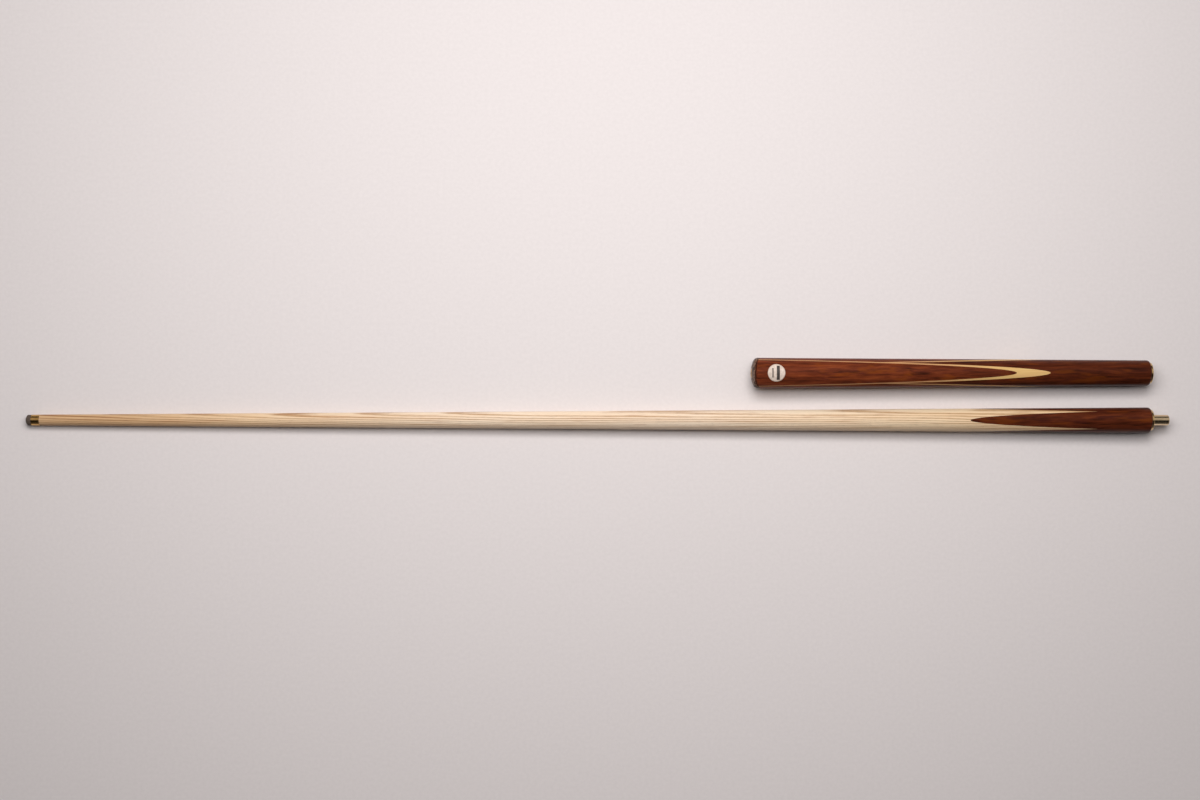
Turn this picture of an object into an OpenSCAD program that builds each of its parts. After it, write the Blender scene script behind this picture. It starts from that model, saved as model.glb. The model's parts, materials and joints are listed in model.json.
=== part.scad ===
/* [Taper] */
// Diameter of the tapered profile at the tip face
tip_face_d = 10.2; // [9:0.1:12]
// Diameter the same taper reaches at the end of the butt
butt_face_d = 29.1; // [28:0.1:31]
// Length of the shaft from the tip face to its joint face
shaft_l = 1070; // [1000:1:1150]
// Length of the butt's wood from its joint face to its rounded end
butt_l = 378; // [360:1:400]

/* [Tip and ferrule] */
// Thickness of the leather tip
tip_l = 5.8; // [4:0.1:8]
// Radius of the dome on the leather tip
tip_dome_r = 7; // [6:0.5:16]
// How far the tip sits inside the taper, all round
tip_inset = 0.15; // [0:0.05:0.3]
// Length of the brass ferrule
ferrule_l = 8; // [6:0.5:12]
// Diameter of the ash tenon inside the ferrule
tenon_d = 8.4; // [7.5:0.1:8.8]

/* [Splices] */
// Distance from the shaft's joint face back to the apex of the base points
base_apex = 172; // [150:1:190]
// Distance from the shaft's joint face back to where neighbouring base points meet
base_wedge = 51; // [45:1:65]
// Distance from the butt's joint face to the points of the veneers
veneer_apex = 96.5; // [85:0.5:110]
// Distance from the butt's joint face to where the veneers of neighbouring splices meet
veneer_wedge = 238; // [220:1:250]
// Thickness of a veneer, square to the splice
veneer_t = 0.9; // [0.6:0.01:1.2]
// Smallest half width left to the ash core in the butt
core_min = 3.2; // [3:0.1:3.3]

/* [Rounded ends] */
// Radius of the rounded edge of both joint faces
joint_round = 2; // [1:0.1:3]
// Radius of the dome across the end of the butt
end_dome_r = 30; // [25:1:60]
// Radius of the rounded edge of the end of the butt
end_round = 4.7; // [3:0.1:6]

/* [Joint] */
// Diameter of the joint pin
pin_d = 10; // [9:0.1:10.4]
// Length of the pin past the face of the shaft collar
pin_l = 16; // [12:0.5:16.5]
// Bevel at the end of the pin
pin_bevel = 0.8; // [0.4:0.1:1.2]
// Diameter of the pin's shoulder, flush in the shaft collar
shoulder_d = 11; // [10.6:0.1:12]
// Diameter of the pin's shank inside the shaft
shank_d = 8.4; // [7:0.1:9]
// Length of the shank inside the shaft
shank_l = 40; // [30:1:60]
// Distance between the glue grooves of the shank
groove_pitch = 6; // [5:1:10]
// Outer diameter of the brass collars
collar_d = 20; // [18:0.5:22]
// Thickness of each brass collar
collar_t = 1.9; // [1.5:0.1:3]
// Bevel round the rim of each collar
collar_bevel = 0.4; // [0.2:0.1:0.6]
// Outer diameter of the joint socket
socket_d = 11.8; // [11.4:0.1:11.9]
// Length of the joint socket inside the butt's wood
socket_l = 26; // [20:1:28]
// Depth of the socket's bore from the face of the butt collar
socket_depth = 17; // [16.5:0.5:19]
// Radial clearance of the pin in the socket, and of each other running fit
clearance = 0.05; // [0.03:0.01:0.08]
// Axial gap between the butt's wood and its collar, which turn on each other
collar_gap = 0.05; // [0.02:0.01:0.1]

/* [Butt fittings] */
// Diameter of the badge plug
badge_d = 16.7; // [14:0.1:18]
// Distance of the badge's middle from the end of the butt
badge_x = 22.9; // [20:0.1:40]
// Depth of the badge plug below the crown of the wood
badge_depth = 3.5; // [3.2:0.1:4.5]
// Outer diameter of the extension insert, and of the bore it sits in
insert_d = 9.6; // [9.5:0.1:10]
// Length of the extension insert
insert_l = 22; // [18:1:30]
// Diameter of the threaded hole for an extension
insert_hole_d = 6; // [5:0.1:6.2]
// Depth of the threaded hole for an extension
insert_hole_l = 18; // [12:1:20]
// Length of the weight slug
slug_l = 80; // [40:1:100]

/* [At rest on the table] */
// Distance between the axes of shaft and butt
axes_apart = 44.7; // [35:0.1:60]
// How far the butt's joint face lies behind the shaft's
faces_offset = 1.1; // [0:0.1:10]
// Distance the butt travels as it is screwed on, once it has swung in line
screw_travel = 18; // [18:1.5:24]
// Gap left between the collars when the butt is screwed home
seat_gap = 0.02; // [0.01:0.01:0.05]

/* [Hidden] */
$fn = 96;
eps = 0.01;

// Sides of a splice, as quarter turns about the cue's axis from the badge side
FRONT = 0;
RIGHT = 1;
BACK = 2;
LEFT = 3;

// The whole cue is one cone about +X: x runs from the tip face to the end of the butt,
// and the badge side faces +Z.
butt_x = shaft_l + 2 * collar_t;
cue_l = butt_x + butt_l;
taper = (butt_face_d - tip_face_d) / 2 / cue_l;
half_angle = atan(taper);
function r_at(x) = tip_face_d / 2 + taper * x;

// Each splice lies on a sloping plane: its half width w(x) from the axis falls from the
// surface at the apex to the surface's 45 degree line where neighbouring splices meet.
function slope(a, b) = (r_at(a) - r_at(b) / sqrt(2)) / (b - a);
base_a = shaft_l - base_apex;
base_k = slope(base_a, shaft_l - base_wedge);
veneer_a = butt_x + veneer_apex;
veneer_k = slope(veneer_a, butt_x + veneer_wedge);
knee_x = base_a + (r_at(base_a) - core_min) / base_k;
function base_w(x) = max(core_min, r_at(base_a) - base_k * (x - base_a));
function inner_w(x) = r_at(veneer_a) - veneer_k * (x - veneer_a);
function outer_w(x) = inner_w(x) + veneer_t;
reach = butt_face_d;

// The outer splices end in feather edges, and are cut from wood with this many sides
splice_sides = 48;

// Bore in the end of the butt: insert, room for the screw travel, and the slug.
slug_x = cue_l - insert_l - screw_travel - clearance - slug_l;
bore_x = slug_x - clearance;
slug_d = insert_d - 2 * clearance;

// Place on the table: the origin is at the bottom middle of the two halves' box.
half_len = (shaft_l + collar_t + pin_l) * cos(half_angle) / 2;
wide = r_at(shaft_l) + axes_apart + r_at(cue_l - end_round);
shaft_y = r_at(shaft_l) - wide / 2;
butt_y = shaft_y + axes_apart;
swing_gap = screw_travel + seat_gap;
swing_x = (shaft_l + collar_t) * cos(half_angle) - half_len + (swing_gap - faces_offset) / 2;
swing_y = (shaft_y + butt_y) / 2;

// Lays the cue's cone on the table, tip to the left
module on_table() {
    translate([-half_len, shaft_y, 0])
        rotate([0, -half_angle, 0])
            translate([0, 0, tip_face_d / 2])
                children();
}

// The butt, unscrewed and swung back beside the shaft
module beside_shaft() {
    translate([swing_x, swing_y, 0])
        rotate([0, 0, 180])
            translate([-swing_x, -swing_y, 0])
                on_table()
                    translate([swing_gap, 0, 0])
                        children();
}

// A solid of revolution about the cue's axis, from points [x, radius]
module turned(points) {
    rotate([0, 90, 0])
        rotate_extrude()
            polygon([for (p = points) [p[1], p[0]]]);
}

// Points [x, radius] of a quarter arc that rounds an edge, between two angles
function arc(cx, cr, r, from, to, n = 6) =
    [for (i = [0:n]) let (t = from + (to - from) * i / n) [cx + r * sin(t), cr + r * cos(t)]];

// Wood of the shaft behind the ferrule
module shaft_profile() {
    edge_r = r_at(shaft_l - joint_round) - joint_round;
    turned(concat(
        [[tip_l + ferrule_l, 0], [tip_l + ferrule_l, r_at(tip_l + ferrule_l)]],
        arc(shaft_l - joint_round, edge_r, joint_round, 0, 90),
        [[shaft_l, 0]]
    ));
}

// Wood of the butt, with its rounded joint face and domed end
module butt_profile() {
    face_r = r_at(butt_x + joint_round) - joint_round;
    rim_r = r_at(cue_l - end_round) - end_round;
    dome_x = cue_l - end_dome_r;
    rim_dx = sqrt(pow(end_dome_r - end_round, 2) - pow(rim_r, 2));
    rim_angle = atan2(rim_dx, rim_r);
    turned(concat(
        [[butt_x, 0]],
        arc(butt_x + joint_round, face_r, joint_round, -90, 0),
        arc(dome_x + rim_dx, rim_r, end_round, 0, rim_angle),
        arc(dome_x, 0, end_dome_r, rim_angle, 90)
    ));
}

// A convex profile with flat sides
module many_sided() {
    hull($fn = splice_sides)
        children();
}

// Everything closer to the plane z = 0 than the half widths [x, w]
module slab(points) {
    rotate([90, 0, 0])
        linear_extrude(2 * reach, center = true)
            polygon(concat(points, [for (i = [len(points) - 1:-1:0]) [points[i][0], -points[i][1]]]));
}

// Everything above the sloping plane through the half widths [x, w]
module above(points) {
    last = len(points) - 1;
    rotate([90, 0, 0])
        linear_extrude(2 * reach, center = true)
            polygon(concat(points, [[points[last][0], 2 * reach], [points[0][0], 2 * reach]]));
}

base_line = [for (x = [-reach, knee_x, cue_l + reach]) [x, base_w(x)]];
inner_line = [for (x = [butt_x - reach, cue_l + reach]) [x, inner_w(x)]];
outer_line = [for (x = [butt_x - reach, cue_l + reach]) [x, outer_w(x)]];

// Turns a shape to one side of the cue
module to_side(side) {
    rotate([90 * side, 0, 0])
        children();
}

// True for the two sides that were spliced on last, across the full width
function is_last(side) = side == FRONT || side == BACK;

// One of the four splices between a lower line and the surface. The last pair runs the
// full width, and the first pair ends at the last pair's planes.
module splice(side, line) {
    intersection() {
        children();
        to_side(side) above(line);
        if (!is_last(side)) slab(line);
    }
}

// Bores of the butt's wood for the joint socket, the insert and the weight slug
module butt_bores() {
    rotate([0, 90, 0]) {
        translate([0, 0, butt_x - eps])
            cylinder(h = socket_l + clearance + eps, d = socket_d + 2 * clearance);
        translate([0, 0, bore_x])
            cylinder(h = cue_l + eps - bore_x, d = insert_d);
    }
}

module badge_pocket() {
    translate([cue_l - badge_x, 0, r_at(cue_l - badge_x) - badge_depth])
        cylinder(h = reach, d = badge_d);
}

module tip() {
    r = r_at(tip_l) - tip_inset;
    color("#4a3f36") on_table()
        intersection() {
            rotate([0, 90, 0]) cylinder(h = tip_l, r = r);
            translate([tip_dome_r, 0, 0]) sphere(r = tip_dome_r);
        }
}

module ferrule() {
    end_x = tip_l + ferrule_l;
    color("#b08d4c") on_table()
        turned([
            [tip_l, tenon_d / 2], [end_x, tenon_d / 2],
            [end_x, r_at(end_x)], [tip_l, r_at(tip_l)]
        ]);
}

module shaft_blank() {
    overlap = 1;
    color("#dcc09a") on_table()
        difference() {
            union() {
                intersection() {
                    shaft_profile();
                    slab(base_line);
                    to_side(RIGHT) slab(base_line);
                }
                translate([tip_l, 0, 0])
                    rotate([0, 90, 0]) cylinder(h = ferrule_l + overlap, d = tenon_d);
            }
            translate([shaft_l - shank_l, 0, 0])
                rotate([0, 90, 0]) cylinder(h = shank_l + eps, d = shank_d);
        }
}

module shaft_splice(side) {
    color("#6a2d18") on_table()
        splice(side, base_line) many_sided() shaft_profile();
}

module shaft_collar() {
    r = collar_d / 2;
    end_x = shaft_l + collar_t;
    color("#b08d4c") on_table()
        turned([
            [shaft_l, shoulder_d / 2], [end_x, shoulder_d / 2], [end_x, r - collar_bevel],
            [end_x - collar_bevel, r], [shaft_l, r]
        ]);
}

module joint_pin() {
    collar_x = shaft_l + collar_t;
    end_x = collar_x + pin_l;
    root_x = shaft_l - shank_l;
    r = shank_d / 2;
    grooves = floor(shank_l / groove_pitch) - 1;
    groove_half = 0.5;
    color("#c09a58") on_table()
        difference() {
            turned([
                [root_x, 0], [root_x, r], [shaft_l, r], [shaft_l, shoulder_d / 2],
                [collar_x, shoulder_d / 2], [collar_x, pin_d / 2],
                [end_x - pin_bevel, pin_d / 2], [end_x, pin_d / 2 - pin_bevel], [end_x, 0]
            ]);
            for (i = [1:grooves])
                turned([
                    [root_x + i * groove_pitch - groove_half, r + eps],
                    [root_x + i * groove_pitch, r - groove_half],
                    [root_x + i * groove_pitch + groove_half, r + eps]
                ]);
        }
}

module weight_slug() {
    color("#6d6f73") beside_shaft()
        translate([slug_x, 0, 0])
            rotate([0, 90, 0]) cylinder(h = slug_l, d = slug_d);
}

module joint_socket() {
    face_x = butt_x - collar_t;
    r = pin_d / 2 + clearance;
    lead_in = 0.4;
    color("#b08d4c") beside_shaft()
        turned([
            [face_x, r + lead_in], [face_x, socket_d / 2],
            [butt_x + socket_l, socket_d / 2], [butt_x + socket_l, 0],
            [face_x + socket_depth, 0], [face_x + socket_depth, r], [face_x + lead_in, r]
        ]);
}

module butt_collar() {
    face_x = butt_x - collar_t;
    r = collar_d / 2;
    color("#b08d4c") beside_shaft()
        turned([
            [face_x, socket_d / 2], [face_x, r - collar_bevel], [face_x + collar_bevel, r],
            [butt_x - collar_gap, r], [butt_x - collar_gap, socket_d / 2]
        ]);
}

module butt_core() {
    color("#dcc09a") beside_shaft()
        difference() {
            intersection() {
                butt_profile();
                slab(base_line);
                to_side(RIGHT) slab(base_line);
                translate([0, -reach, -reach]) cube([bore_x, 2 * reach, 2 * reach]);
            }
            butt_bores();
        }
}

// Rosewood laid on the core first, and carried on from the shaft's splices
module base_splice(side) {
    color("#5c2716") beside_shaft()
        difference() {
            intersection() {
                splice(side, base_line) butt_profile();
                slab(inner_line);
                to_side(RIGHT) slab(inner_line);
            }
            butt_bores();
        }
}

module veneer(side) {
    color("#d8b980") beside_shaft()
        intersection() {
            splice(side, inner_line) many_sided() butt_profile();
            to_side(side) slab(outer_line);
        }
}

module butt_splice(side) {
    color("#7a3520") beside_shaft()
        difference() {
            intersection() {
                many_sided() butt_profile();
                to_side(side) above(outer_line);
                if (!is_last(side)) slab(inner_line);
            }
            if (side == FRONT) badge_pocket();
        }
}

module badge() {
    color("#e9dccb") beside_shaft()
        intersection() {
            butt_profile();
            badge_pocket();
        }
}

module butt_end_socket() {
    hole_x = cue_l - insert_hole_l;
    color("#b08d4c") beside_shaft()
        difference() {
            intersection() {
                butt_profile();
                translate([cue_l - insert_l, 0, 0])
                    rotate([0, 90, 0]) cylinder(h = insert_l, d = insert_d);
            }
            translate([hole_x, 0, 0])
                rotate([0, 90, 0]) cylinder(h = insert_hole_l + eps, d = insert_hole_d);
        }
}

tip();
ferrule();
shaft_blank();
shaft_splice(FRONT);  // shaft_splice_front
shaft_splice(BACK);  // shaft_splice_back
shaft_splice(LEFT);  // shaft_splice_left
shaft_splice(RIGHT);  // shaft_splice_right
shaft_collar();
joint_pin();
weight_slug();
joint_socket();
butt_collar();
butt_core();
base_splice(FRONT);  // base_splice_front
base_splice(BACK);  // base_splice_back
base_splice(LEFT);  // base_splice_left
base_splice(RIGHT);  // base_splice_right
veneer(FRONT);  // veneer_front
veneer(BACK);  // veneer_back
veneer(LEFT);  // veneer_left
veneer(RIGHT);  // veneer_right
butt_splice(FRONT);  // butt_splice_front
butt_splice(BACK);  // butt_splice_back
butt_splice(LEFT);  // butt_splice_left
butt_splice(RIGHT);  // butt_splice_right
badge();
butt_end_socket();
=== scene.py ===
import json
import math

import bmesh
import bpy
from mathutils import Matrix, Vector, noise


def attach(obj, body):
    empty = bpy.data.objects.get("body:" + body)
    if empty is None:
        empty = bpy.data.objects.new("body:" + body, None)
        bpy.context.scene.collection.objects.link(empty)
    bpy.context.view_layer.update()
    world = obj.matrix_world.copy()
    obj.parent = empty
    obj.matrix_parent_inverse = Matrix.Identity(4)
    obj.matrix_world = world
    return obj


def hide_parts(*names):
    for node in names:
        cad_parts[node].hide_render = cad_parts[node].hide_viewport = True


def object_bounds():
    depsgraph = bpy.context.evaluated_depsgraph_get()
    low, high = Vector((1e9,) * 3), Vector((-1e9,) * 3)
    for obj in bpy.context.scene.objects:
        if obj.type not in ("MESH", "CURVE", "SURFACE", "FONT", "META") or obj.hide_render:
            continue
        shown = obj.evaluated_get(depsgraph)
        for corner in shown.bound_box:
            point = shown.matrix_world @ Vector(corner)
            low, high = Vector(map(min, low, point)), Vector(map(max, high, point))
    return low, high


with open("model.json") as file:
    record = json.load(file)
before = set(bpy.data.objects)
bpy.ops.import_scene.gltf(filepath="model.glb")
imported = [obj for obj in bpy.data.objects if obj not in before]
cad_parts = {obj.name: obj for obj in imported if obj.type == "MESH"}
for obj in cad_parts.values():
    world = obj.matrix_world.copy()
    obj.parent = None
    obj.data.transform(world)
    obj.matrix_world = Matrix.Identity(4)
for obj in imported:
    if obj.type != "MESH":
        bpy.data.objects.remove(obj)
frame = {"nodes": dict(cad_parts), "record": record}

# The looks of a two-section cue that lies unscrewed on a pale table. Every length is in
# millimetres in the cue's own frame, as on a drawing: x runs from the tip face to the end of
# the butt, and the badge side faces up. Two placing matrices turn that into the row frame.

cad_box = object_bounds()
MM = 0.001

# ---------------------------------------------------------------- sizes of the cue

# The cone from tip to butt, and the wood of the two sections along it
TIP_FACE_R, BUTT_FACE_R = 5.1, 14.55
SHAFT_L, BUTT_L = 1070, 378

# Leather tip, and the ferrule over the tenon
TIP_L, TIP_DOME_R, TIP_INSET = 5.8, 7, 0.15
FERRULE_L, TENON_R = 8, 4.2

# Splices, from the joint to their apex and to where they meet their neighbours, the thickness
# of the veneers, and the half width at which the ash core stops narrowing
BASE_APEX, BASE_WEDGE = 172, 51
VENEER_APEX, VENEER_WEDGE, VENEER_T = 96.5, 238, 0.9
CORE_MIN = 3.2

# Rounded edges of the joint ends, and the butt's domed end
JOINT_ROUND, END_DOME_R, END_ROUND = 2, 30, 4.7

# Joint pin with its shoulder and glued shank, collars and socket
PIN_R, PIN_L, PIN_BEVEL = 5, 16, 0.8
SHOULDER_R, SHANK_R, SHANK_L = 5.5, 4.2, 40
COLLAR_R, COLLAR_T, COLLAR_BEVEL, COLLAR_GAP = 10, 1.9, 0.4, 0.05
SOCKET_R, SOCKET_L, SOCKET_DEPTH, LEAD_IN, CLEARANCE = 5.9, 26, 17, 0.4, 0.05

# Visible thread. A flank takes this share of the pitch, and the ends are left plain.
THREAD_PITCH, THREAD_DEPTH, THREAD_FLANK, THREAD_INSET = 1.5, 0.07, 0.2, 1.5

# Badge, and the insert in the end of the butt
BADGE_R, BADGE_X, BADGE_DEPTH, BADGE_GAP, BADGE_EDGE = 8.35, 22.9, 3.5, 0.06, 0.2
INSERT_R, INSERT_L, INSERT_HOLE_R, INSERT_HOLE_L = 4.8, 22, 3, 18

# Hidden weight and the room for its travel
SLUG_L, SCREW_TRAVEL = 80, 18

JOINT_X = SHAFT_L + COLLAR_T
BUTT_X = SHAFT_L + 2 * COLLAR_T
CUE_L = BUTT_X + BUTT_L
TAPER = (BUTT_FACE_R - TIP_FACE_R) / CUE_L
WOOD_X = TIP_L + FERRULE_L
BORE_X = CUE_L - INSERT_L - SCREW_TRAVEL - SLUG_L - 2 * CLEARANCE

# Steps of the meshes
ARC_STEPS, BORE_STEPS = 40, 8           # across a splice's round face and its inner face
LATHE_SIDES = 128                       # round a turned piece
STATION = 3                             # length along the cone
APEX_REACH, APEX_STEPS = 45, 26         # along the cone just past an apex
ROUND_STEPS, DOME_STEPS = 10, 28        # round an edge and over the domed end
EASE_STEPS = 4                          # round an eased corner
THREAD_STEP = 0.1                       # length along a threaded bore

# Points this close together are one, and faces at more than this angle meet in a sharp edge
SAME = 2e-4
SHARP = math.radians(32)


def r_at(x):
    """Radius of the cue's cone."""
    return TIP_FACE_R + TAPER * x


def slope(a, b):
    """Slope of a splice plane that leaves the surface at a and meets its neighbours at b."""
    return (r_at(a) - r_at(b) / math.sqrt(2)) / (b - a)


BASE_A = SHAFT_L - BASE_APEX
BASE_K = slope(BASE_A, SHAFT_L - BASE_WEDGE)
VENEER_A = BUTT_X + VENEER_APEX
VENEER_K = slope(VENEER_A, BUTT_X + VENEER_WEDGE)
OUTER_A = VENEER_A + VENEER_T / (VENEER_K + TAPER)


def base_w(x):
    """Half width of the ash core, between the base splices."""
    return max(CORE_MIN, r_at(BASE_A) - BASE_K * (x - BASE_A))


def inner_w(x):
    """Half width of the wood under the veneers."""
    return r_at(VENEER_A) - VENEER_K * (x - VENEER_A)


def outer_w(x):
    """Half width of the wood under the outer splices."""
    return inner_w(x) + VENEER_T


def dome_at(r):
    """Where the domed end has this radius."""
    return CUE_L - END_DOME_R + math.sqrt(END_DOME_R ** 2 - r ** 2)


# ---------------------------------------------------------------- placing

def cue_frame(mount_name, x_there, towards):
    """Matrix from the cue's own millimetres to the row frame, through a mount on its axis."""
    mount = next(m for m in frame["record"]["mounts"] if m["name"] == mount_name)
    along = Vector(mount["axis"]).normalized() * towards
    up = (Vector((0, 0, 1)) - along * along.z).normalized()
    turn = Matrix((along, up.cross(along), up)).transposed().to_4x4()
    origin = Vector(mount["pos_m"]) - along * (x_there * MM)
    return Matrix.Translation(origin) @ turn @ Matrix.Scale(MM, 4)


SHAFT_PLACE = cue_frame("joint_pin", JOINT_X + (PIN_L - PIN_BEVEL) / 2, 1)
BUTT_PLACE = cue_frame("joint_socket", JOINT_X + (LEAD_IN + SOCKET_DEPTH) / 2, -1)


# ---------------------------------------------------------------- outlines and stations

def spread(a, b, steps):
    """Even steps from a to b, both included."""
    return [a + (b - a) * i / steps for i in range(steps + 1)]


def arc(cx, cr, r, start, end, steps):
    """Points (x, radius) of an arc round (cx, cr), with angles from the outward direction."""
    return [(cx + r * math.sin(t), cr + r * math.cos(t)) for t in spread(start, end, steps)]


def along_line(start, end, step):
    """Outline points between two points, both left out."""
    count = max(1, math.ceil((Vector(end) - Vector(start)).length / step))
    return [tuple(Vector(start).lerp(Vector(end), i / count)) for i in range(1, count)]


def eased(points, size):
    """The outline with each corner off the axis rounded, and held flat just beside the round."""
    most, held = 0.3, 1.5
    out = []
    for i, corner in enumerate(points):
        before, after = Vector(points[i - 1]), Vector(points[(i + 1) % len(points)])
        corner = Vector(corner)
        if corner.y < SAME:
            out.append(tuple(corner))
            continue
        a, b = before - corner, after - corner
        reach = min(size, a.length * most, b.length * most)
        a, b = a.normalized() * reach, b.normalized() * reach
        out.append(tuple(corner + a * held))
        for t in spread(0, 1, EASE_STEPS):
            out.append(tuple(corner + a * (1 - t) ** 2 + b * t ** 2))
        out.append(tuple(corner + b * held))
    return out


def cone(start, end, step, apexes):
    """Stations (x, radius) along the cone, close together just past each splice's apex."""
    xs = spread(start, end, math.ceil((end - start) / step))
    for a in apexes:
        xs += [a + APEX_REACH * (i / APEX_STEPS) ** 2 for i in range(APEX_STEPS + 1)]
    xs = sorted(x for x in xs if start <= x <= end)
    kept = [x for x, after in zip(xs, xs[1:]) if after - x > SAME] + [end]
    return [(x, r_at(x)) for x in kept]


def shaft_stations():
    """The shaft's surface, from the ferrule over the rounded joint end."""
    edge_x = SHAFT_L - JOINT_ROUND
    edge = arc(edge_x, r_at(edge_x) - JOINT_ROUND, JOINT_ROUND, 0, math.pi / 2, ROUND_STEPS)
    plain = cone(WOOD_X, BASE_A, 4 * STATION, [])
    return plain[:-1] + cone(BASE_A, edge_x, STATION, [BASE_A, SHAFT_L - BASE_WEDGE]) + edge[1:]


def butt_stations():
    """The butt's surface, from the rounded joint face over the domed end to the insert."""
    face_x = BUTT_X + JOINT_ROUND
    face = arc(face_x, r_at(face_x) - JOINT_ROUND, JOINT_ROUND, -math.pi / 2, 0, ROUND_STEPS)
    rim_r = r_at(CUE_L - END_ROUND) - END_ROUND
    dome_x = CUE_L - END_DOME_R
    rim_dx = math.sqrt((END_DOME_R - END_ROUND) ** 2 - rim_r ** 2)
    rim_t = math.atan2(rim_dx, rim_r)
    insert_t = math.acos(INSERT_R / END_DOME_R)
    rim = arc(dome_x + rim_dx, rim_r, END_ROUND, 0, rim_t, 2 * ROUND_STEPS)
    dome = arc(dome_x, 0, END_DOME_R, rim_t, insert_t, DOME_STEPS)
    apexes = [VENEER_A, OUTER_A, BUTT_X + VENEER_WEDGE]
    return face[:-1] + cone(face_x, dome_x + rim_dx, STATION, apexes) + rim[1:] + dome[1:]


def above(stations, low):
    """The stations where the surface lies above the line low, with both ends exact."""
    kept = []
    for (x0, r0), (x1, r1) in zip(stations, stations[1:]):
        h0, h1 = r0 - low(x0), r1 - low(x1)
        if h0 >= 0:
            kept.append((x0, r0))
        if h0 * h1 < 0:
            f = h0 / (h0 - h1)
            kept.append((x0 + f * (x1 - x0), r0 + f * (r1 - r0)))
    if stations[-1][1] >= low(stations[-1][0]):
        kept.append(stations[-1])
    return kept


def section(r, low, high, side, bore):
    """Ring (across, up) of a splice: over low, under high, within side, in r and off the bore.

    It runs down the right half and back up the left half.
    """
    side, high, low = min(side, r), min(high, r), min(low, r)
    start, end = math.acos(high / r), min(math.acos(low / r), math.asin(side / r))
    if start < end:
        right = [(r * math.sin(t), r * math.cos(t)) for t in spread(start, end, ARC_STEPS)]
    else:
        right = [(min(side, r * math.sin(start)), high)] * (ARC_STEPS + 1)
    foot = min(side, math.sqrt(r * r - low * low))
    reach = math.sqrt(max(bore * bore - low * low, 0))
    for across in [foot] + spread(min(reach, foot), 0, BORE_STEPS):
        right.append((across, max(low, math.sqrt(max(bore * bore - across * across, 0)))))
    return right + [(-across, up) for across, up in reversed(right)]


# ---------------------------------------------------------------- meshes

def turned(x, across, up, turn):
    """The point (x, across, up) turned round the cue's axis."""
    cos, sin = math.cos(turn), math.sin(turn)
    return (x, across * cos - up * sin, across * sin + up * cos)


def bridge(bm, one, two):
    """Quads between two rings of vertices, in order round the rings."""
    after = list(range(1, len(one))) + [0]
    return [bm.faces.new((one[j], one[k], two[k], two[j])) for j, k in enumerate(after)]


def loft(rings, skin):
    """bmesh through rings of (x, y, z), closed at both ends. skin marks the outer steps."""
    bm = bmesh.new()
    is_skin = bm.faces.layers.int.new("skin")
    loops = [[bm.verts.new(p) for p in ring] for ring in rings]
    for one, two in zip(loops, loops[1:]):
        for face, outer in zip(bridge(bm, one, two), skin):
            face[is_skin] = int(outer)
    bm.faces.new(loops[0])
    bm.faces.new(loops[-1])
    bmesh.ops.remove_doubles(bm, verts=bm.verts, dist=SAME)
    bmesh.ops.dissolve_degenerate(bm, edges=bm.edges, dist=SAME)
    bmesh.ops.recalc_face_normals(bm, faces=bm.faces)
    return bm


def splice_mesh(stations, side, low, high=None, limit=None, bored=False):
    """One of four splices, a quarter turn apart, over the stations where it has any height.

    It lies between the planes low and high and within limit to its sides, and the insert, the
    slug and the slug's travel run through a bored one.
    """
    kept = above(stations, low)
    bore_from = len(kept)
    if bored:
        bore_from = next(i for i, (x, r) in enumerate(kept) if x > BORE_X)
        kept = kept[:bore_from] + [(BORE_X, r_at(BORE_X))] * 2 + kept[bore_from:]
    far = 2 * BUTT_FACE_R
    rings = []
    for i, (x, r) in enumerate(kept):
        bore = INSERT_R if i > bore_from else 0
        ring = section(r, low(x), high(x) if high else far, limit(x) if limit else far, bore)
        rings.append([turned(x, across, up, math.radians(90 * side)) for across, up in ring])
    half = [True] * ARC_STEPS + [False] * (BORE_STEPS + 2)
    return loft(rings, half + [False] + half[::-1] + [False])


def turned_mesh(outline, relief=None):
    """Solid of revolution from a closed outline (x, radius). relief(x, r, turn) adds to r."""
    bm = bmesh.new()
    rings = []
    for x, r in outline:
        ring = []
        for i in range(LATHE_SIDES):
            turn = 2 * math.pi * i / LATHE_SIDES
            radius = r + relief(x, r, turn) if relief and r > 0 else r
            ring.append(bm.verts.new((x, radius * math.cos(turn), radius * math.sin(turn))))
        rings.append(ring)
    for one, two in zip(rings, rings[1:] + rings[:1]):
        bridge(bm, one, two)
    bmesh.ops.remove_doubles(bm, verts=bm.verts, dist=SAME)
    on_axis = [edge for edge in bm.edges if not edge.link_faces]
    bmesh.ops.delete(bm, geom=on_axis, context="EDGES")
    bmesh.ops.recalc_face_normals(bm, faces=bm.faces)
    return bm


def helical_groove(x_from, x_to, depth):
    """Relief of a fine flat-crested thread between two stations, fading in and out.

    It adds depth to the radius, which is below 0 on a pin.
    """
    def relief(x, r, turn):
        if not x_from < x < x_to:
            return 0
        phase = (x / THREAD_PITCH - turn / (2 * math.pi)) % 1
        groove = max(0, 1 - abs(phase - 0.5) / THREAD_FLANK)
        fade = min(1, (x - x_from) / THREAD_PITCH, (x_to - x) / THREAD_PITCH)
        return depth * groove * fade
    return relief


def piece(name, bm, place, body, nodes, look):
    """Turns a bmesh into a placed, smooth-shaded object that stands for its CAD nodes."""
    is_skin = bm.faces.layers.int.get("skin")
    for edge in bm.edges:
        faces = edge.link_faces
        crease = len(faces) == 2 and edge.calc_face_angle(0) > SHARP
        if is_skin and len(faces) == 2:
            crease = crease or faces[0][is_skin] != faces[1][is_skin]
        edge.smooth = not crease
    for face in bm.faces:
        face.smooth = True
    bm.transform(place)
    mesh = bpy.data.meshes.new(name)
    bm.to_mesh(mesh)
    bm.free()
    obj = bpy.data.objects.new(name, mesh)
    bpy.context.scene.collection.objects.link(obj)
    mesh.materials.append(look)
    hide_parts(*nodes)
    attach(obj, body)


# ---------------------------------------------------------------- materials

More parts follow.
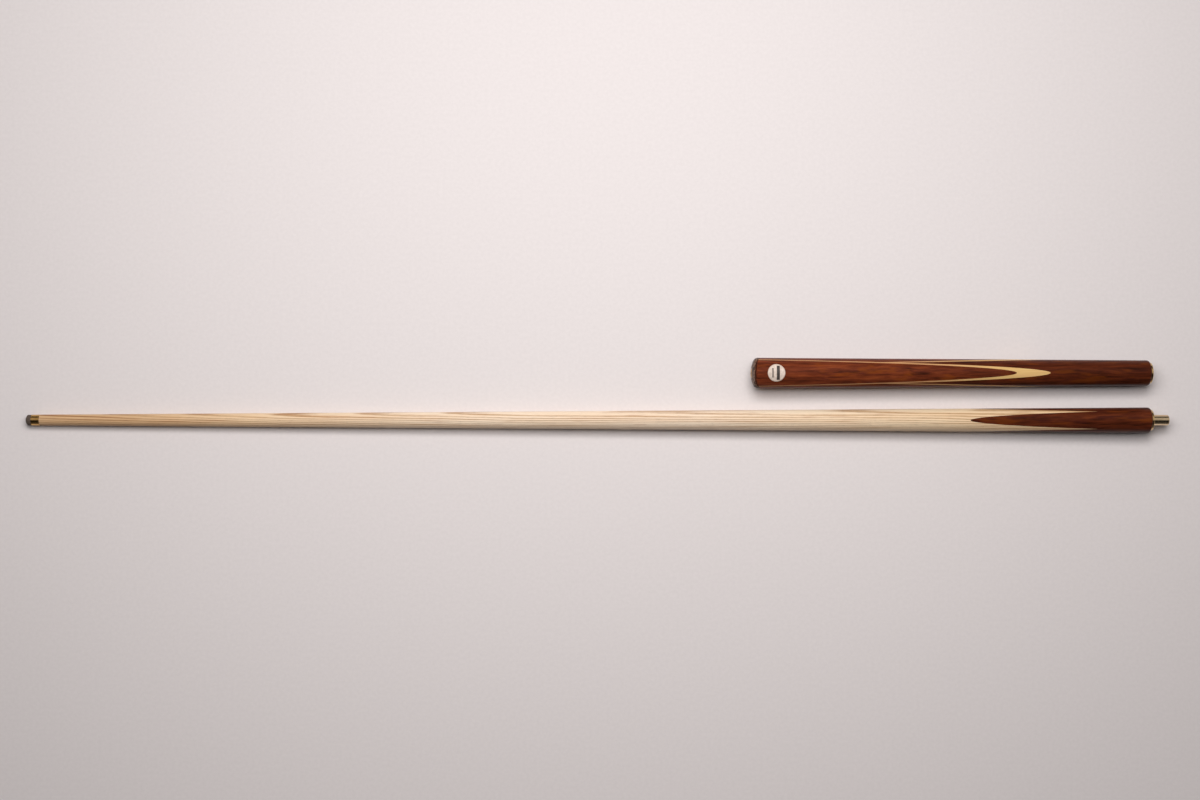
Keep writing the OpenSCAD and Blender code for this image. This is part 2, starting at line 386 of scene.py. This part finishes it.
# Sockets of a Mix node for colours: the factor, the two colours and the result
MIX_FACTOR, MIX_ONE, MIX_TWO, MIX_RESULT = 0, 6, 7, 2


def srgb(red, green, blue):
    """Linear colour from 0 to 255 values."""
    def linear(v):
        v /= 255
        return v / 12.92 if v <= 0.04045 else ((v + 0.055) / 1.055) ** 2.4
    return (linear(red), linear(green), linear(blue))


class Graph:
    """Shader nodes, built with short calls that each return an output socket."""

    def __init__(self, tree):
        self.nodes, self.links = tree.nodes, tree.links

    def feed(self, socket, value):
        """Links a socket to an output, or sets it to a number, a vector or a colour."""
        if isinstance(value, bpy.types.NodeSocket):
            self.links.new(value, socket)
        else:
            socket.default_value = (*value, 1) if socket.type == "RGBA" else value

    def add(self, kind, inputs, out=0, **settings):
        """A node of this kind with its inputs, by name or number, and one of its outputs."""
        node = self.nodes.new("ShaderNode" + kind)
        for key, setting in settings.items():
            setattr(node, key, setting)
        for key, value in inputs.items():
            self.feed(node.inputs[key], value)
        return node.outputs[out]

    def split(self, vector):
        """The x, y and z of a vector."""
        node = self.nodes.new("ShaderNodeSeparateXYZ")
        self.feed(node.inputs[0], vector)
        return node.outputs

    def math(self, operation, *values):
        """The result of one arithmetic operation on numbers."""
        return self.add("Math", dict(enumerate(values)), operation=operation)

    def vectors(self, operation, one, two):
        """The result of one arithmetic operation on two vectors."""
        return self.add("VectorMath", {0: one, 1: two}, operation=operation)

    def sum(self, first, *others):
        for other in others:
            first = self.math("ADD", first, other)
        return first

    def product(self, first, *others):
        for other in others:
            first = self.math("MULTIPLY", first, other)
        return first

    def scaled(self, value, factor, offset=0):
        """The value times a factor, plus an offset."""
        return self.math("MULTIPLY_ADD", value, factor, offset)

    def step(self, value, low, high, start=0, end=1):
        """A smooth step from start to end as value goes from low to high."""
        return self.add("MapRange", {"Value": value, "From Min": low, "From Max": high,
                                     "To Min": start, "To Max": end},
                        interpolation_type="SMOOTHSTEP")

    def chance(self, value):
        """A random number from 0 to 1 for each value."""
        return self.add("TexWhiteNoise", {"W": value}, out="Value", noise_dimensions="1D")

    def ramp(self, value, stops):
        """Colours (or grey levels) between stops of (position, colour)."""
        node = self.nodes.new("ShaderNodeValToRGB")
        self.feed(node.inputs[0], value)
        elements = node.color_ramp.elements
        while len(elements) < len(stops):
            elements.new(0.5)
        for element, (position, colour) in zip(elements, stops):
            element.position = position
            level = colour if isinstance(colour, tuple) else (colour,) * 3
            element.color = (*level, 1)
        return node.outputs[0]

    def mix(self, factor, one, two, blend="MIX"):
        """Colour one where factor is 0 and two where it is 1."""
        return self.add("Mix", {MIX_FACTOR: factor, MIX_ONE: one, MIX_TWO: two}, out=MIX_RESULT,
                        data_type="RGBA", blend_type=blend)


class Look(Graph):
    """One procedural material, drawn in the cue's own millimetres."""

    def __init__(self, name, place, shift=(0, 0, 0)):
        self.material = bpy.data.materials.new(name)
        self.material.use_nodes = True
        super().__init__(self.material.node_tree)
        self.shader = self.nodes["Principled BSDF"]
        location, rotation, scale = place.decompose()
        at = self.add("Mapping", {"Vector": self.add("TexCoord", {}, out="Object"),
                                  "Location": location, "Rotation": rotation.to_euler(),
                                  "Scale": scale}, vector_type="TEXTURE")
        self.x, self.y, self.z = self.split(at)
        self.grain_at = self.vectors("ADD", at, shift)

    def noise(self, along, across, detail=2, roughness=0.5, vector=None):
        """Noise from 0 to 1, with its own number of waves per millimetre along and across."""
        stretched = self.vectors("MULTIPLY", vector or self.grain_at, (along, across, across))
        return self.add("TexNoise", {"Vector": stretched, "Scale": 1, "Detail": detail,
                                     "Roughness": roughness})

    def bump(self, height, distance):
        """Lets the height (0 to 1) move the shaded surface by this many millimetres."""
        bumped = self.add("Bump", {"Height": height, "Distance": distance * MM})
        self.feed(self.shader.inputs["Normal"], bumped)

    def finish(self, **inputs):
        """Sets the shader's inputs, by name with underscores for spaces."""
        for key, value in inputs.items():
            self.feed(self.shader.inputs[key.replace("_", " ")], value)
        return self.material


# The ash's growth rings: their spacing, the slant they are cut at, how far their lines drift
# across the shaft between tip and joint, and the length behind the tip that holds most of it
RING = 1.8
RING_TILT = math.radians(24)
DRIFT, DRIFT_OVER = 9.0, 330


def ash(name, place):
    """Straight-grained ash: growth rings cut at a slant, open pores and short brown dashes."""
    look = Look(name, place)
    wobble = look.scaled(look.noise(0.0035, 0.05), 4.4, -2.2)
    waver = look.scaled(look.noise(0.018, 0.2, detail=3), 0.9, -0.45)
    fall = look.math("POWER", math.e, look.scaled(look.x, -1 / DRIFT_OVER))
    across = look.sum(look.scaled(look.y, math.cos(RING_TILT)),
                      look.scaled(look.z, math.sin(RING_TILT)))
    depth = look.sum(across, look.scaled(fall, -DRIFT, DRIFT), wobble, waver)
    rings = look.scaled(depth, 1 / RING)
    late = look.ramp(look.math("FRACT", rings), [
        (0, 1), (0.18, 1), (0.38, 0.25), (0.52, 0), (0.86, 0), (1, 1)])
    strength = look.scaled(look.chance(look.math("FLOOR", rings)), 0.55, 0.45)
    patchy = look.step(look.noise(0.012, 0.35, detail=3), 0.3, 0.6, 0.55, 1)
    line = look.product(late, strength, patchy)
    fibre = look.noise(0.05, 3.2, detail=4, roughness=0.6)
    pores = look.product(look.step(look.noise(0.16, 7, detail=2), 0.57, 0.66),
                         look.scaled(late, 0.75, 0.25))
    dash = look.step(look.noise(0.03, 0.9, detail=2), 0.58, 0.72)
    tone = look.ramp(look.scaled(look.x, 1 / SHAFT_L), [
        (0.0, srgb(216, 180, 138)), (0.10, srgb(220, 184, 142)), (0.2, srgb(238, 208, 170)),
        (0.36, srgb(250, 230, 204)), (0.6, srgb(252, 233, 209)), (0.8, srgb(249, 225, 190)),
        (0.92, srgb(238, 204, 160)), (1.0, srgb(226, 188, 138))])
    mottled = look.mix(look.step(look.noise(0.006, 0.12), 0.35, 0.7, 0, 0.35), tone,
                       look.mix(1.0, tone, srgb(236, 218, 200), "MULTIPLY"))
    lined = look.mix(look.scaled(line, 0.95), mottled,
                     look.mix(1.0, tone, srgb(182, 146, 106), "MULTIPLY"))
    dashed = look.mix(look.scaled(dash, 0.4), lined, srgb(176, 122, 86))
    pored = look.mix(look.scaled(pores, 0.6), dashed, srgb(104, 64, 38))
    colour = look.mix(1.0, pored, look.ramp(fibre, [(0.3, 0.84), (0.7, 1.0)]), "MULTIPLY")
    look.bump(look.scaled(pores, -0.7, look.scaled(fibre, 0.12)), 0.03)
    rough = look.scaled(fibre, 0.14, 0.38)
    return look.finish(Base_Color=colour, Roughness=rough, Specular_IOR_Level=0.3,
                       Coat_Weight=0.08, Coat_Roughness=0.3)


def rosewood(name, place, shift, light=1.0, end_painted=False):
    """Brown rosewood: wavy broken streaks, orange and purple patches and fine dark pores."""
    look = Look(name, place, shift)
    sway = look.scaled(look.noise(0.022, 0.06, detail=2), 5.0)
    swayed = look.vectors("ADD", look.grain_at, look.add("CombineXYZ", {"Y": sway, "Z": sway}))
    streaks = look.noise(0.030, 0.34, detail=5, roughness=0.6, vector=swayed)
    threads = look.noise(0.05, 1.9, detail=3, roughness=0.6, vector=swayed)
    orange = look.noise(0.035, 0.16, detail=3, vector=swayed)
    purple = look.noise(0.035, 0.22, detail=3, vector=swayed)
    grain = look.sum(look.scaled(streaks, 0.72), look.scaled(threads, 0.28))
    body = look.ramp(grain, [
        (0.34, srgb(52, 22, 12)), (0.44, srgb(84, 37, 21)), (0.53, srgb(102, 46, 26)),
        (0.66, srgb(130, 64, 34))])
    amber = look.mix(look.step(orange, 0.53, 0.68, 0, 0.6), body, srgb(128, 62, 20))
    plum = look.mix(look.step(purple, 0.57, 0.70, 0, 0.45), amber, srgb(66, 27, 28))
    pores = look.step(look.noise(0.12, 5.0, detail=2), 0.60, 0.70)
    pored = look.mix(look.scaled(pores, 0.45), plum, srgb(40, 15, 9))
    deeper = look.ramp(look.scaled(look.x, 1 / BUTT_L, -BUTT_X / BUTT_L), [
        (0.0, 0.62 * light), (0.3, 0.68 * light), (0.65, 0.86 * light), (1.0, 0.97 * light)])
    colour = look.mix(1.0, pored, deeper, "MULTIPLY")
    # On the butt's rounded end: a painted grey reflection and a painted dark line of shade
    if end_painted:
        colour = paint_end_reflection_and_shade(look, colour)
    look.bump(look.scaled(pores, -0.6, look.scaled(threads, 0.15)), 0.02)
    rough = look.scaled(threads, 0.16, 0.22)
    return look.finish(Base_Color=colour, Roughness=rough, Specular_IOR_Level=0.08)


# How far from its end the butt carries a painted grey reflection, and how much farther that
# reaches at its sides, following the curve of the shading on the round
END_PAINT_L, END_PAINT_CURL = 3.3, 5.0


def paint_end_reflection_and_shade(look, colour):
    """The butt's rounded end, painted with a blotchy grey reflection and edged by a painted dark
    line of shade.
    """
    from_end = look.scaled(look.x, -1, CUE_L)
    aside = look.math("ABSOLUTE", look.scaled(look.y, 1 / BUTT_FACE_R))
    curled = look.sum(from_end, look.scaled(look.math("POWER", aside, 4), -END_PAINT_CURL))
    ragged = look.sum(curled, look.scaled(look.noise(0.2, 0.2, detail=4), 2.4, -1.2))
    # Painted reflection: blotchy grey where the rounded end mirrors the bright surroundings at a
    # grazing angle
    grey = look.ramp(look.noise(0.24, 0.24, detail=5, roughness=0.7), [
        (0.42, srgb(28, 18, 14)), (0.48, srgb(92, 66, 54)), (0.55, srgb(138, 112, 94)),
        (0.62, srgb(66, 42, 32))])
    end_reflected = look.mix(look.step(ragged, END_PAINT_L, END_PAINT_L - 1), colour, grey)
    # Painted shade: a dark line where the round turns away from the light
    edge = look.math("ABSOLUTE", look.scaled(ragged, 1, -END_PAINT_L - 0.2))
    return look.mix(look.step(edge, 0.9, 0.2, 0, 0.85), end_reflected, srgb(34, 18, 13))


def veneer(name, place, shift):
    """Pale gold veneer with faint lengthwise lines, duller towards the end of the butt, with a
    painted grey reflection and a painted dark line of shade on the rounded end.
    """
    look = Look(name, place, shift)
    lines = look.noise(0.03, 2.4, detail=4, roughness=0.6)
    cloud = look.noise(0.02, 0.2)
    body = look.ramp(lines, [
        (0.3, srgb(190, 150, 88)), (0.5, srgb(216, 180, 116)), (0.7, srgb(228, 194, 134))])
    warm = look.mix(look.step(cloud, 0.4, 0.7, 0, 0.4), body, srgb(220, 172, 120))
    dulled = look.mix(look.step(look.x, OUTER_A, BUTT_X + VENEER_WEDGE, 0, 0.75), warm,
                      srgb(176, 122, 88))
    look.bump(lines, 0.012)
    return look.finish(Base_Color=paint_end_reflection_and_shade(look, dulled), Roughness=look.scaled(lines, 0.15, 0.26),
                       Specular_IOR_Level=0.1)


def brass(name, place, polish, colour, tarnish):
    """Turned brass: fine rings from the lathe, faint cloudy tarnish and hairline scratches."""
    look = Look(name, place)
    rings = look.noise(9, 0.02, detail=3, roughness=0.7)
    cloud = look.noise(0.3, 0.3, detail=4, roughness=0.6)
    hair = look.step(look.noise(0.5, 14, detail=1), 0.66, 0.7)
    tinted = look.mix(look.step(cloud, 0.42, 0.72, 0, 0.5), colour, tarnish)
    shaded = look.mix(1.0, tinted, look.ramp(rings, [(0.3, 0.86), (0.7, 1.0)]), "MULTIPLY")
    look.bump(look.sum(look.scaled(rings, 0.6), look.scaled(hair, -0.25)), 0.006)
    rough = look.sum(look.scaled(cloud, 0.16, polish), look.scaled(hair, 0.08))
    return look.finish(Base_Color=shaded, Metallic=1.0, Roughness=rough)


def leather(name, place):
    """Pressed leather tip: burnished side with layers, dusty dome coated with chalk."""
    look = Look(name, place)
    grainy = look.noise(2.2, 2.2, detail=5, roughness=0.7)
    layers = look.noise(4.5, 0.15, detail=2)
    body = look.ramp(grainy, [
        (0.32, srgb(60, 50, 44)), (0.5, srgb(88, 76, 68)), (0.68, srgb(114, 102, 92))])
    side = look.mix(look.step(layers, 0.45, 0.6, 0, 0.5), body, srgb(94, 80, 70))
    dusty = look.mix(look.step(look.x, 2.8, 0.8, 0, 0.45), side, srgb(96, 90, 88))
    look.bump(grainy, 0.12)
    return look.finish(Base_Color=dusty, Roughness=look.scaled(grainy, 0.25, 0.62),
                       Specular_IOR_Level=0.25)


def slug_steel(name, place):
    """Turned steel, dull and slightly oily."""
    look = Look(name, place)
    rings = look.noise(6, 0.02, detail=3)
    tint = look.ramp(rings, [(0.3, srgb(112, 114, 118)), (0.7, srgb(150, 152, 156))])
    return look.finish(Base_Color=tint, Metallic=1.0, Roughness=look.scaled(rings, 0.2, 0.35))


def badge_face(name, place):
    """Cream badge with two printed bars, one bold and one fine, and a slightly darker rim."""
    look = Look(name, place)
    u = look.scaled(look.x, 1, BADGE_X - CUE_L)
    cloud = look.noise(0.5, 0.5, detail=4)
    cream = look.ramp(cloud, [(0.35, srgb(208, 190, 176)), (0.65, srgb(226, 210, 196))])
    soft = 0.06

    def bar(middle, half_width, half_length):
        """1 on a bar across the cue, 0 off it, with a slightly uneven printed edge."""
        rough = look.scaled(look.noise(3, 3, detail=2), 0.16, -0.08)
        off_x = look.sum(look.math("ABSOLUTE", look.scaled(u, 1, -middle)), rough)
        off_y = look.sum(look.math("ABSOLUTE", look.y), rough)
        return look.product(look.step(off_x, half_width + soft, half_width - soft),
                            look.step(off_y, half_length + soft, half_length - soft))

    printed = look.mix(look.scaled(bar(-1.7, 1.45, 6.7), 0.93), cream, srgb(34, 28, 26))
    inked = look.mix(look.scaled(bar(3.4, 0.7, 4.5), 0.85), printed, srgb(84, 74, 68))
    off = look.math("SQRT", look.sum(look.product(u, u), look.product(look.y, look.y)))
    colour = look.mix(look.step(off, 7.5, BADGE_R, 0, 0.45), inked, srgb(168, 138, 108))
    look.bump(cloud, 0.01)
    return look.finish(Base_Color=colour, Roughness=look.scaled(cloud, 0.15, 0.25),
                       Specular_IOR_Level=0.4, Coat_Weight=0.3, Coat_Roughness=0.1)


# ---------------------------------------------------------------- pieces

SIDES = ("front", "right", "back", "left")
GOLD, GOLD_TARNISH = srgb(224, 178, 108), srgb(180, 132, 74)
BRIGHT_GOLD = srgb(238, 200, 142)
PALE_BRASS, PALE_TARNISH = srgb(242, 216, 176), srgb(216, 182, 134)


def last_on(side):
    """True for the front and back splices, which were laid on last, over the full width."""
    return side % 2 == 0


def make_tip():
    """Domed leather tip, a little narrower than the ferrule, its surface finely pitted."""
    pit_depth, pits_per_mm = 0.06, 1.6
    domed = 0.93                        # share of the dome before its edge is rounded over
    flat = 0.01                         # flat middle, so that the pits stay behind the tip face
    r = r_at(TIP_L) - TIP_INSET
    rim = TIP_DOME_R - math.sqrt(TIP_DOME_R ** 2 - r ** 2)
    reach = math.asin(r / TIP_DOME_R) * domed
    dome = [(max(flat, TIP_DOME_R * (1 - math.cos(t))), TIP_DOME_R * math.sin(t))
            for t in spread(0, reach, 16)]
    edge = [(rim * domed, r - 0.12), (rim + 0.15, r - 0.03), (rim + 0.4, r)]
    wall = along_line(edge[-1], (TIP_L, r), 0.12)
    outline = dome + edge + wall + [(TIP_L, r), (TIP_L, 0)]

    def pitted(x, r, turn):
        spot = Vector((x, r * math.cos(turn), r * math.sin(turn))) * pits_per_mm
        return -pit_depth * abs(noise.fractal(spot, 0.6, 2.0, 4)) if 0 < x < TIP_L else 0

    piece("leather_tip", turned_mesh(outline, pitted), SHAFT_PLACE, "shaft",
          ["tip"], leather("pressed_leather", SHAFT_PLACE))


def make_ferrule(look):
    """Brass tube over the tenon, flush with the wood."""
    outline = [(TIP_L, TENON_R), (TIP_L, r_at(TIP_L)), (WOOD_X, r_at(WOOD_X)), (WOOD_X, TENON_R)]
    piece("brass_ferrule", turned_mesh(eased(outline, 0.15)), SHAFT_PLACE, "shaft",
          ["ferrule"], look)


def make_shaft_blank():
    """Ash from the tenon to the joint face, with four flats under the base points."""
    def ring(x, r, w):
        """Four arcs of radius r between flats at half width w, or a square where w is small."""
        phi = math.acos(min(1, w / r))
        points = []
        for quarter in range(4):
            for t in spread(phi, math.pi / 2 - phi, ARC_STEPS):
                across, up = (r * math.sin(t), r * math.cos(t)) if phi < math.pi / 4 else (w, w)
                points.append(turned(x, across, up, -quarter * math.pi / 2))
        return points

    rings = [ring(TIP_L, TENON_R, TENON_R), ring(WOOD_X, TENON_R, TENON_R)]
    rings += [ring(x, r, base_w(x)) for x, r in shaft_stations()]
    rings += [ring(SHAFT_L, SHANK_R, SHANK_R), ring(SHAFT_L - SHANK_L, SHANK_R, SHANK_R)]
    skin = ([True] * ARC_STEPS + [False]) * 4
    piece("ash_shaft", loft(rings, skin), SHAFT_PLACE, "shaft", ["shaft_blank"],
          ash("ash_shaft", SHAFT_PLACE))


def make_shaft_splices():
    """The four rosewood base points, as far as the joint."""
    stations = shaft_stations()
    for side, word in enumerate(SIDES):
        bm = splice_mesh(stations, side, base_w, limit=None if last_on(side) else base_w)
        look = rosewood(f"rosewood_point_{word}", SHAFT_PLACE, (300 * side, 40 * side, 11), 1.1)
        piece(f"rosewood_point_{word}", bm, SHAFT_PLACE, "shaft",
              [f"shaft_splice_{word}"], look)


def collar_mesh(wood_x, hole_r):
    """A collar from the joint faces to the wood of its section, bevelled at the joint."""
    bevel_x = JOINT_X + math.copysign(COLLAR_BEVEL, wood_x - JOINT_X)
    outline = [(wood_x, hole_r), (wood_x, COLLAR_R), (bevel_x, COLLAR_R),
               (JOINT_X, COLLAR_R - COLLAR_BEVEL), (JOINT_X, hole_r)]
    return turned_mesh(eased(outline, 0.35))


def make_shaft_collar(look):
    """Brass collar on the shaft's joint face, round the pin's shoulder."""
    piece("brass_shaft_collar", collar_mesh(SHAFT_L, SHOULDER_R), SHAFT_PLACE, "shaft",
          ["shaft_collar"], look)


def make_pin(look):
    """Joint pin from its hidden shank to its bevelled nose, with a shallow thread."""
    root_x, nose_x = SHAFT_L - SHANK_L, JOINT_X + PIN_L
    bevel_x = nose_x - PIN_BEVEL
    root = eased([(root_x, 0), (root_x, SHANK_R), (SHAFT_L, SHANK_R), (SHAFT_L, SHOULDER_R),
                  (JOINT_X, SHOULDER_R), (JOINT_X, PIN_R)], 0.08)
    shank = [p for p in root if p[0] <= JOINT_X]
    body = along_line((JOINT_X + 0.2, PIN_R), (bevel_x - 0.2, PIN_R), 0.06)
    nose = eased([(JOINT_X, 0), (JOINT_X, PIN_R), (bevel_x, PIN_R),
                  (nose_x, PIN_R - PIN_BEVEL), (nose_x, 0)], 0.15)
    nose = [p for p in nose if p[0] > JOINT_X + PIN_L / 2]
    groove = helical_groove(JOINT_X + 1.2, nose_x - 2 * PIN_BEVEL, -THREAD_DEPTH)
    piece("brass_pin", turned_mesh(shank + body + nose, groove), SHAFT_PLACE, "shaft",
          ["joint_pin"], look)


def make_butt_collar(look):
    """Brass collar on the butt's joint face, round the socket."""
    piece("brass_butt_collar", collar_mesh(BUTT_X - COLLAR_GAP, SOCKET_R), BUTT_PLACE,
          "joint_brass", ["butt_collar"], look)


def make_socket(look):
    """Socket for the pin, with a lead-in and a shallow thread in its bore."""
    bore_r, floor_x, back_x = PIN_R + CLEARANCE, JOINT_X + SOCKET_DEPTH, BUTT_X + SOCKET_L
    outside = eased([(JOINT_X, bore_r + LEAD_IN), (JOINT_X, SOCKET_R), (back_x, SOCKET_R),
                     (back_x, 0), (floor_x, 0), (floor_x, bore_r), (JOINT_X + LEAD_IN, bore_r)],
                    0.08)
    inside = along_line((floor_x - 0.3, bore_r), (JOINT_X + LEAD_IN + 0.3, bore_r), THREAD_STEP)
    cut = next(i for i, p in enumerate(outside) if p[0] < floor_x - 1 and i > len(outside) / 2)
    outline = outside[:cut] + inside + outside[cut:]
    groove = helical_groove(JOINT_X + THREAD_INSET, floor_x - THREAD_INSET, THREAD_DEPTH)

    def inner_groove(x, r, turn):
        return groove(x, r, turn) if r < PIN_R + 0.2 else 0

    piece("brass_socket", turned_mesh(outline, inner_groove), BUTT_PLACE, "joint_brass",
          ["joint_socket"], look)


def cut_pocket(bm):
    """Cuts the badge's round pocket out of the front splice."""
    x = CUE_L - BADGE_X
    foot = r_at(x) - BADGE_DEPTH
    cut_l = BADGE_DEPTH + 4
    plug = bmesh.new()
    bmesh.ops.create_cone(plug, cap_ends=True, segments=LATHE_SIDES, radius1=BADGE_R,
                          radius2=BADGE_R, depth=cut_l,
                          matrix=Matrix.Translation((x, 0, foot + cut_l / 2)))
    objects = []
    for name, source in (("wood", bm), ("cutter", plug)):
        mesh = bpy.data.meshes.new(name)
        source.to_mesh(mesh)
        source.free()
        objects.append(bpy.data.objects.new(name, mesh))
        bpy.context.scene.collection.objects.link(objects[-1])
    wood, cutter = objects
    pocket = wood.modifiers.new("pocket", "BOOLEAN")
    pocket.operation, pocket.solver, pocket.object = "DIFFERENCE", "EXACT", cutter
    evaluated = wood.evaluated_get(bpy.context.evaluated_depsgraph_get())
    out = bmesh.new()
    out.from_mesh(evaluated.to_mesh())
    evaluated.to_mesh_clear()
    for mesh in [obj.data for obj in objects]:
        bpy.data.meshes.remove(mesh)
    return out


def make_butt():
    """The spliced wood of the butt round its ash core."""
    stations = butt_stations()
    for side, word in enumerate(SIDES):
        last = last_on(side)
        bm = splice_mesh(stations, side, base_w, inner_w, inner_w if last else base_w, True)
        # The rounded end of the base and outer splices gets a painted grey reflection and a
        # painted dark line of shade
        look = rosewood(f"rosewood_base_{word}", BUTT_PLACE, (210 * side, 35 * side, 60),
                        end_painted=True)
        piece(f"rosewood_base_{word}", bm, BUTT_PLACE, "butt",
              [f"base_splice_{word}"], look)

        bm = splice_mesh(stations, side, inner_w, outer_w, None if last else inner_w)
        look = veneer(f"veneer_{word}", BUTT_PLACE, (90 * side, 25 * side, 9))
        piece(f"pale_veneer_{word}", bm, BUTT_PLACE, "butt", [f"veneer_{word}"],
              look)

        bm = splice_mesh(stations, side, outer_w, limit=None if last else inner_w)
        if word == "front":
            bm = cut_pocket(bm)
        look = rosewood(f"rosewood_splice_{word}", BUTT_PLACE, (170 * side, 45 * side, 130), 1.2,
                        end_painted=True)
        piece(f"rosewood_splice_{word}", bm, BUTT_PLACE, "butt",
              [f"butt_splice_{word}"], look)


def make_badge():
    """Round plug in its pocket, its top turned to the cue's own surface."""
    middle = CUE_L - BADGE_X
    foot = r_at(middle) - BADGE_DEPTH
    r = BADGE_R - BADGE_GAP
    flat_steps, edge_steps = 12, 5
    steps = [(r * i / flat_steps, 0) for i in range(flat_steps)]
    steps += [(r - BADGE_EDGE * (1 - math.sin(t)), -BADGE_EDGE * (1 - math.cos(t)))
              for t in spread(0, math.pi / 2, edge_steps)]
    bm = bmesh.new()
    rings = []
    for off, drop in steps + [(r, None)]:
        ring = []
        for i in range(LATHE_SIDES):
            turn = 2 * math.pi * i / LATHE_SIDES
            x, y = middle + off * math.cos(turn), off * math.sin(turn)
            crown = math.sqrt(r_at(x) ** 2 - y ** 2)
            ring.append(bm.verts.new((x, y, foot if drop is None else crown + drop)))
        rings.append(ring)
    for one, two in zip(rings, rings[1:]):
        bridge(bm, one, two)
    bm.faces.new(rings[-1])
    bmesh.ops.remove_doubles(bm, verts=bm.verts, dist=SAME)
    bmesh.ops.recalc_face_normals(bm, faces=bm.faces)
    piece("cream_badge", bm, BUTT_PLACE, "butt", ["badge"],
          badge_face("badge_face", BUTT_PLACE))


def make_insert(look):
    """Brass insert in the end of the butt, flush with the dome, with a threaded hole."""
    bevel, mouth_bevel = 0.15, 0.3
    start_x, foot_x = CUE_L - INSERT_L, CUE_L - INSERT_HOLE_L
    rim_x = dome_at(INSERT_R) - bevel
    top = [(dome_at(r), r) for r in spread(INSERT_R - bevel, INSERT_HOLE_R + mouth_bevel, 6)]
    mouth_x = top[-1][0] - mouth_bevel
    outline = [(start_x, 0), (start_x, INSERT_R - 0.2), (start_x + 0.2, INSERT_R)]
    outline += along_line(outline[-1], (rim_x, INSERT_R), 2) + [(rim_x, INSERT_R)]
    outline += top + [(mouth_x, INSERT_HOLE_R)]
    outline += along_line(outline[-1], (foot_x, INSERT_HOLE_R), THREAD_STEP)
    outline += [(foot_x, INSERT_HOLE_R), (foot_x, 0)]
    groove = helical_groove(foot_x + THREAD_INSET, mouth_x + 0.6, THREAD_DEPTH)

    def inner_groove(x, r, turn):
        return groove(x, r, turn) if r < INSERT_HOLE_R + 0.05 else 0

    piece("brass_insert", turned_mesh(outline, inner_groove), BUTT_PLACE, "butt",
          ["butt_end_socket"], look)


def paint_hidden():
    """Materials of the two CAD solids that stay inside the butt."""
    for node, look in (("butt_core", ash("ash_core", BUTT_PLACE)),
                       ("weight_slug", slug_steel("slug_steel", BUTT_PLACE))):
        frame["nodes"][node].material_slots[0].material = look


# ---------------------------------------------------------------- table, light and camera

def make_table():
    """A plain pale table, larger than any view of it, just under the lowest point of the cue."""
    half, gap = 30, 0.0001
    mesh = bpy.data.meshes.new("table")
    mesh.from_pydata([(-half, -half, 0), (half, -half, 0), (half, half, 0), (-half, half, 0)],
                     [], [(0, 1, 2, 3)])
    obj = bpy.data.objects.new("table", mesh)
    bpy.context.scene.collection.objects.link(obj)
    obj.location.z = cad_box[0].z - gap
    look = Look("pale_table", Matrix.Scale(MM, 4))
    fine = look.noise(0.3, 0.3, detail=3)
    tint = look.ramp(fine, [(0.3, srgb(222, 216, 215)), (0.7, srgb(226, 220, 219))])
    mesh.materials.append(look.finish(Base_Color=tint, Roughness=0.75, Specular_IOR_Level=0.2))


def make_panel(name, watts, size, place, target):
    """A soft rectangular light that faces the target and isn't mirrored in the cue."""
    data = bpy.data.lights.new(name, "AREA")
    data.shape = "RECTANGLE"
    data.size, data.size_y = size
    data.energy = watts
    data.color = (1.0, 0.975, 0.97)
    lamp = bpy.data.objects.new(name, data)
    bpy.context.scene.collection.objects.link(lamp)
    lamp.location = place
    lamp.rotation_euler = (Vector(target) - Vector(place)).to_track_quat("-Z", "Y").to_euler()
    lamp.visible_camera = False
    lamp.visible_glossy = False


def make_world():
    """A studio for the reflections, in bands along the cue.

    Each level is (degrees from straight up, positive towards the butt's side, brightness). The
    bright band reaches from overhead to the butt's side, and the shaft's side is nearly black.
    """
    levels = ((-90, 0.05), (-62, 0.08), (-50, 0.02), (-6, 0.02), (2, 0.42), (44, 0.52),
              (54, 0.08), (90, 0.12))
    world = bpy.data.worlds.new("studio")
    bpy.context.scene.world = world
    world.use_nodes = True
    sky = Graph(world.node_tree)
    _, aside, up = sky.split(sky.add("TexCoord", {}, out="Generated"))
    turn = sky.scaled(sky.math("ARCTAN2", aside, up), 1 / (2 * math.pi), 0.5)
    bands = sky.ramp(turn, [(degrees / 360 + 0.5, (level, level * 0.96, level * 0.95))
                            for degrees, level in levels])
    sky.feed(sky.nodes["Background"].inputs["Color"], bands)


def make_camera():
    """Straight down, high over the middle of the cue."""
    data = bpy.data.cameras.new("camera")
    data.lens, data.sensor_width = 50, 36
    camera = bpy.data.objects.new("camera", data)
    bpy.context.scene.collection.objects.link(camera)
    camera.location = (0.0039, -0.00445, 1.596)
    camera.rotation_euler = (0, 0, 0)
    bpy.context.scene.camera = camera


make_camera()
make_world()
make_table()
make_panel("top", 9.4, (1.0, 0.68), (0, 0.38, 0.95), (0, 0.12, 0))
make_panel("key", 14, (1.2, 0.6), (0, 1.4, 2.2), (0, -0.2, 0))

make_tip()
make_ferrule(brass("shaft_gold_brass", SHAFT_PLACE, 0.14, GOLD, GOLD_TARNISH))
make_shaft_blank()
make_shaft_splices()
make_shaft_collar(brass("shaft_bright_brass", SHAFT_PLACE, 0.1, BRIGHT_GOLD, GOLD))
make_pin(brass("shaft_pale_brass", SHAFT_PLACE, 0.12, PALE_BRASS, PALE_TARNISH))
make_butt_collar(brass("butt_bright_brass", BUTT_PLACE, 0.1, BRIGHT_GOLD, GOLD))
make_socket(brass("butt_pale_brass", BUTT_PLACE, 0.14, PALE_BRASS, PALE_TARNISH))
make_butt()
make_badge()
make_insert(brass("butt_gold_brass", BUTT_PLACE, 0.14, GOLD, GOLD_TARNISH))
paint_hidden()
bpy.context.scene.view_settings.view_transform = "Standard"
